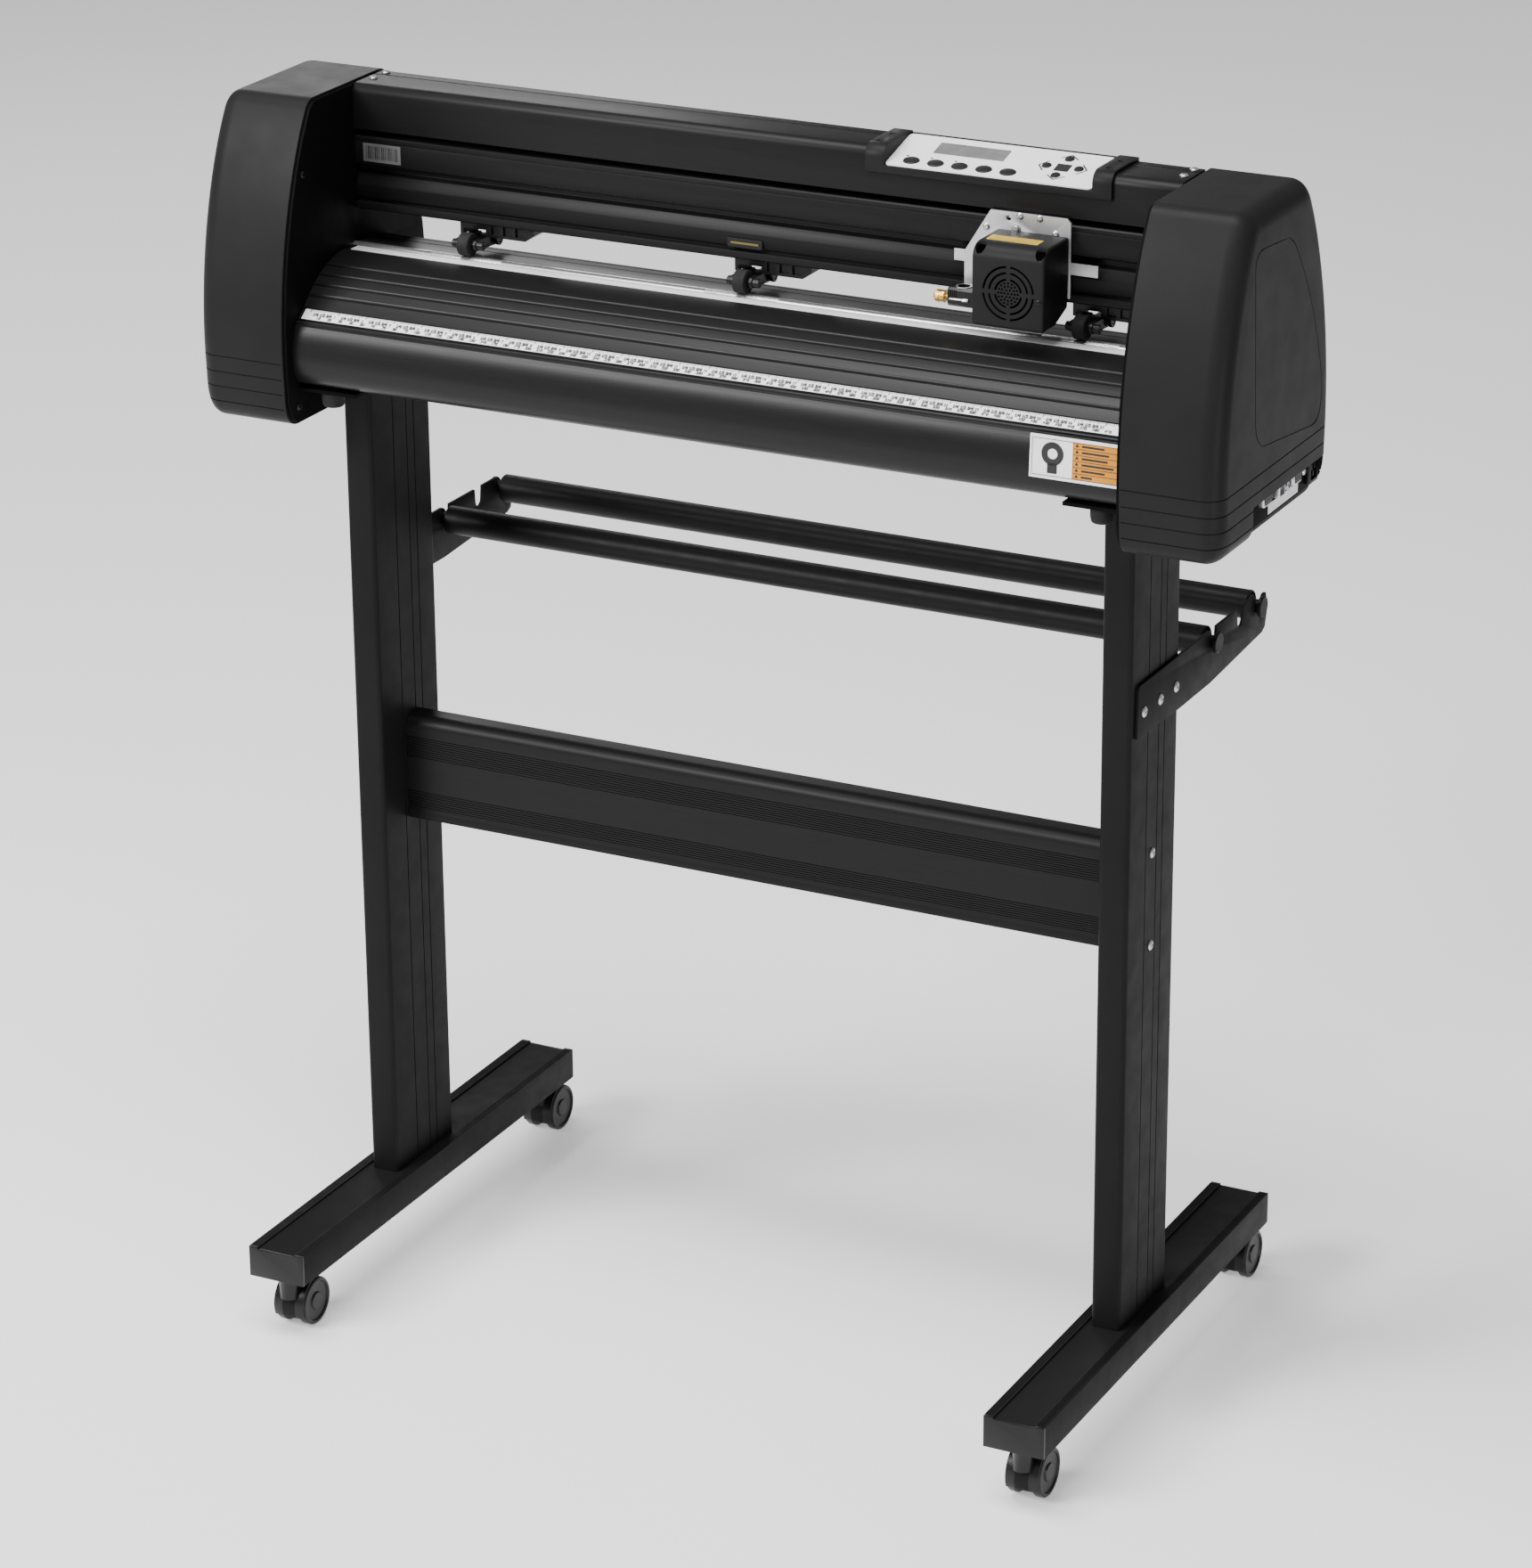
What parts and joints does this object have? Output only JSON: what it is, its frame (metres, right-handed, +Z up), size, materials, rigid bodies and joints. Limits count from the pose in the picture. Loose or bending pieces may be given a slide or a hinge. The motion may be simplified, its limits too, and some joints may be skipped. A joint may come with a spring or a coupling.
{
  "type": "vinyl cutter",
  "caption": "Roller-fed vinyl cutter on a two-post stand with swivel casters, a sliding cutting head, pinch rollers, a control panel and rear media rollers.",
  "frame": {"origin": "on the floor, under the middle of the bounding box", "axes": "+X to the machine's right along the platen, +Y to the back where the media rollers are, +Z up"},
  "size_m": [0.88, 0.4796, 1.0102],
  "materials": {
    "stand_black": "satin",
    "panel_black": "satin",
    "platen_black": "satin",
    "cover_plastic": "matte",
    "plate_black": "satin",
    "caster_plastic": "satin",
    "roller_black": "satin",
    "shaft_steel": "bright",
    "plate_aluminium": "satin",
    "motor_black": "satin",
    "moulded_dark": "satin",
    "pinch_rubber": "matte",
    "thumb_brass": "bright",
    "overlay_grey": "satin",
    "key_dark": "satin",
    "board_green": "satin"
  },
  "bodies": {
    "root": {"left_foot_beam": "stand_black", "right_foot_beam": "stand_black", "left_post": "stand_black", "right_post": "stand_black", "left_roll_bracket": "stand_black", "right_roll_bracket": "stand_black", "stretcher_panel": "panel_black", "left_end_cover": "cover_plastic", "right_end_cover": "cover_plastic", "left_side_plate": "plate_black", "right_side_plate": "plate_black", "port_panel": "plate_black", "control_board": "board_green", "power_supply": "plate_aluminium", "platen": "platen_black", "grit_motor": "motor_black", "top_beam": "panel_black", "rail_beam": "panel_black", "carriage_motor": "motor_black", "console_bezel": "cover_plastic", "membrane_overlay": "overlay_grey", "carriage_belt": "pinch_rubber"},
    "carriage": {"carriage_plate": "plate_aluminium", "head_cover": "cover_plastic", "lift_solenoid": "plate_aluminium"},
    "tool": {"tool_clamp": "moulded_dark"},
    "clamp_screw": {"clamp_screw": "thumb_brass"},
    "belt_drive_pulley": {"belt_drive_pulley": "plate_aluminium"},
    "belt_idler_pulley": {"belt_idler_pulley": "plate_aluminium"},
    "grit_shaft": {"grit_shaft": "shaft_steel"},
    "grit_motor_pinion": {"grit_motor_pinion": "shaft_steel"},
    "front_media_roller": {"front_media_roller": "roller_black"},
    "rear_media_roller": {"rear_media_roller": "roller_black"},
    "front_left_caster": {"front_left_caster_fork": "caster_plastic"},
    "front_left_wheels": {"front_left_caster_wheels": "caster_plastic"},
    "rear_left_caster": {"rear_left_caster_fork": "caster_plastic"},
    "rear_left_wheels": {"rear_left_caster_wheels": "caster_plastic"},
    "front_right_caster": {"front_right_caster_fork": "caster_plastic"},
    "front_right_wheels": {"front_right_caster_wheels": "caster_plastic"},
    "rear_right_caster": {"rear_right_caster_fork": "caster_plastic"},
    "rear_right_wheels": {"rear_right_caster_wheels": "caster_plastic"},
    "left_pinch_bracket": {"left_pinch_bracket": "moulded_dark"},
    "left_pinch_arm": {"left_pinch_arm": "moulded_dark"},
    "left_pinch_roller": {"left_pinch_roller": "pinch_rubber"},
    "middle_pinch_bracket": {"middle_pinch_bracket": "moulded_dark"},
    "middle_pinch_arm": {"middle_pinch_arm": "moulded_dark"},
    "middle_pinch_roller": {"middle_pinch_roller": "pinch_rubber"},
    "right_pinch_bracket": {"right_pinch_bracket": "moulded_dark"},
    "right_pinch_arm": {"right_pinch_arm": "moulded_dark"},
    "right_pinch_roller": {"right_pinch_roller": "pinch_rubber"},
    "function_key_1": {"function_key_1": "key_dark"},
    "function_key_2": {"function_key_2": "key_dark"},
    "function_key_3": {"function_key_3": "key_dark"},
    "function_key_4": {"function_key_4": "key_dark"},
    "function_key_5": {"function_key_5": "key_dark"},
    "up_key": {"up_key": "key_dark"},
    "left_key": {"left_key": "key_dark"},
    "right_key": {"right_key": "key_dark"},
    "down_key": {"down_key": "key_dark"}
  },
  "joints": [
    {"name": "carriage_travel", "type": "slide", "parent": "root", "child": "carriage", "axis": [1, 0, 0], "range_m": [-0.518, 0.06]},
    {"name": "tool_lift", "type": "slide", "parent": "carriage", "child": "tool", "axis": [0, 0, 1], "range_m": [-0.003, 0], "stiffness_N_per_m": 150},
    {"name": "clamp_screw_turn", "type": "hinge", "parent": "tool", "child": "clamp_screw", "pos_m": [0.17, -0.0337, 0.904], "axis": [1, 0, 0], "range_deg": [0, 360]},
    {"name": "drive_pulley_turn", "type": "hinge", "parent": "root", "child": "belt_drive_pulley", "pos_m": [0.385, 0.0093, 0.976], "axis": [0, 0, 1], "range_deg": [-3700, 425]},
    {"name": "idler_pulley_turn", "type": "hinge", "parent": "root", "child": "belt_idler_pulley", "pos_m": [-0.375, 0.0093, 0.976], "axis": [0, 0, 1], "range_deg": [-3700, 425]},
    {"name": "grit_shaft_turn", "type": "hinge", "parent": "root", "child": "grit_shaft", "pos_m": [0, -0.0167, 0.8725], "axis": [1, 0, 0], "continuous": true},
    {"name": "pinion_turn", "type": "hinge", "parent": "root", "child": "grit_motor_pinion", "pos_m": [-0.37, 0.0113, 0.8515], "axis": [1, 0, 0], "continuous": true},
    {"name": "front_media_roller_turn", "type": "hinge", "parent": "root", "child": "front_media_roller", "pos_m": [0, 0.0933, 0.6115], "axis": [1, 0, 0], "continuous": true},
    {"name": "rear_media_roller_turn", "type": "hinge", "parent": "root", "child": "rear_media_roller", "pos_m": [0, 0.1863, 0.6115], "axis": [1, 0, 0], "continuous": true},
    {"name": "front_left_swivel", "type": "hinge", "parent": "root", "child": "front_left_caster", "pos_m": [-0.333, -0.2207, 0.0526], "axis": [0, 0, 1], "continuous": true},
    {"name": "front_left_wheel_turn", "type": "hinge", "parent": "front_left_caster", "child": "front_left_wheels", "pos_m": [-0.333, -0.2017, 0.0205], "axis": [1, 0, 0], "continuous": true},
    {"name": "rear_left_swivel", "type": "hinge", "parent": "root", "child": "rear_left_caster", "pos_m": [-0.333, 0.2003, 0.0526], "axis": [0, 0, 1], "continuous": true},
    {"name": "rear_left_wheel_turn", "type": "hinge", "parent": "rear_left_caster", "child": "rear_left_wheels", "pos_m": [-0.333, 0.2193, 0.0205], "axis": [1, 0, 0], "continuous": true},
    {"name": "front_right_swivel", "type": "hinge", "parent": "root", "child": "front_right_caster", "pos_m": [0.333, -0.2207, 0.0526], "axis": [0, 0, 1], "continuous": true},
    {"name": "front_right_wheel_turn", "type": "hinge", "parent": "front_right_caster", "child": "front_right_wheels", "pos_m": [0.333, -0.2017, 0.0205], "axis": [1, 0, 0], "continuous": true},
    {"name": "rear_right_swivel", "type": "hinge", "parent": "root", "child": "rear_right_caster", "pos_m": [0.333, 0.2003, 0.0526], "axis": [0, 0, 1], "continuous": true},
    {"name": "rear_right_wheel_turn", "type": "hinge", "parent": "rear_right_caster", "child": "rear_right_wheels", "pos_m": [0.333, 0.2193, 0.0205], "axis": [1, 0, 0], "continuous": true},
    {"name": "left_pinch_lift", "type": "hinge", "parent": "left_pinch_bracket", "child": "left_pinch_arm", "pos_m": [-0.253, 0.0133, 0.887], "axis": [-1, 0, 0], "range_deg": [0, 8]},
    {"name": "left_pinch_roller_turn", "type": "hinge", "parent": "left_pinch_arm", "child": "left_pinch_roller", "pos_m": [-0.253, -0.0167, 0.8887], "axis": [1, 0, 0], "continuous": true},
    {"name": "middle_pinch_lift", "type": "hinge", "parent": "middle_pinch_bracket", "child": "middle_pinch_arm", "pos_m": [-0.007, 0.0133, 0.887], "axis": [-1, 0, 0], "range_deg": [0, 8]},
    {"name": "middle_pinch_roller_turn", "type": "hinge", "parent": "middle_pinch_arm", "child": "middle_pinch_roller", "pos_m": [-0.007, -0.0167, 0.8887], "axis": [1, 0, 0], "continuous": true},
    {"name": "right_pinch_lift", "type": "hinge", "parent": "right_pinch_bracket", "child": "right_pinch_arm", "pos_m": [0.28, 0.0133, 0.887], "axis": [-1, 0, 0], "range_deg": [0, 8]},
    {"name": "right_pinch_roller_turn", "type": "hinge", "parent": "right_pinch_arm", "child": "right_pinch_roller", "pos_m": [0.28, -0.0167, 0.8887], "axis": [1, 0, 0], "continuous": true},
    {"name": "left_pinch_slide", "type": "slide", "parent": "root", "child": "left_pinch_bracket", "axis": [1, 0, 0], "range_m": [-0.085, 0.08]},
    {"name": "middle_pinch_slide", "type": "slide", "parent": "root", "child": "middle_pinch_bracket", "axis": [1, 0, 0], "range_m": [-0.08, 0.08]},
    {"name": "right_pinch_slide", "type": "slide", "parent": "root", "child": "right_pinch_bracket", "axis": [1, 0, 0], "range_m": [-0.08, 0.02]},
    {"name": "function_key_1_press", "type": "slide", "parent": "root", "child": "function_key_1", "axis": [0, 0.2614, -0.9652], "range_m": [0, 0.0004], "stiffness_N_per_m": 500},
    {"name": "function_key_2_press", "type": "slide", "parent": "root", "child": "function_key_2", "axis": [0, 0.2614, -0.9652], "range_m": [0, 0.0004], "stiffness_N_per_m": 500},
    {"name": "function_key_3_press", "type": "slide", "parent": "root", "child": "function_key_3", "axis": [0, 0.2614, -0.9652], "range_m": [0, 0.0004], "stiffness_N_per_m": 500},
    {"name": "function_key_4_press", "type": "slide", "parent": "root", "child": "function_key_4", "axis": [0, 0.2614, -0.9652], "range_m": [0, 0.0004], "stiffness_N_per_m": 500},
    {"name": "function_key_5_press", "type": "slide", "parent": "root", "child": "function_key_5", "axis": [0, 0.2614, -0.9652], "range_m": [0, 0.0004], "stiffness_N_per_m": 500},
    {"name": "up_key_press", "type": "slide", "parent": "root", "child": "up_key", "axis": [0, 0.2614, -0.9652], "range_m": [0, 0.0004], "stiffness_N_per_m": 500},
    {"name": "left_key_press", "type": "slide", "parent": "root", "child": "left_key", "axis": [0, 0.2614, -0.9652], "range_m": [0, 0.0004], "stiffness_N_per_m": 500},
    {"name": "right_key_press", "type": "slide", "parent": "root", "child": "right_key", "axis": [0, 0.2614, -0.9652], "range_m": [0, 0.0004], "stiffness_N_per_m": 500},
    {"name": "down_key_press", "type": "slide", "parent": "root", "child": "down_key", "axis": [0, 0.2614, -0.9652], "range_m": [0, 0.0004], "stiffness_N_per_m": 500}
  ],
  "couplings": [
    {"joint": "drive_pulley_turn", "follows": "carriage_travel", "rad_per_m": 122.7},
    {"joint": "idler_pulley_turn", "follows": "carriage_travel", "rad_per_m": 122.7},
    {"joint": "pinion_turn", "follows": "grit_shaft_turn", "ratio": -2.5}
  ]
}
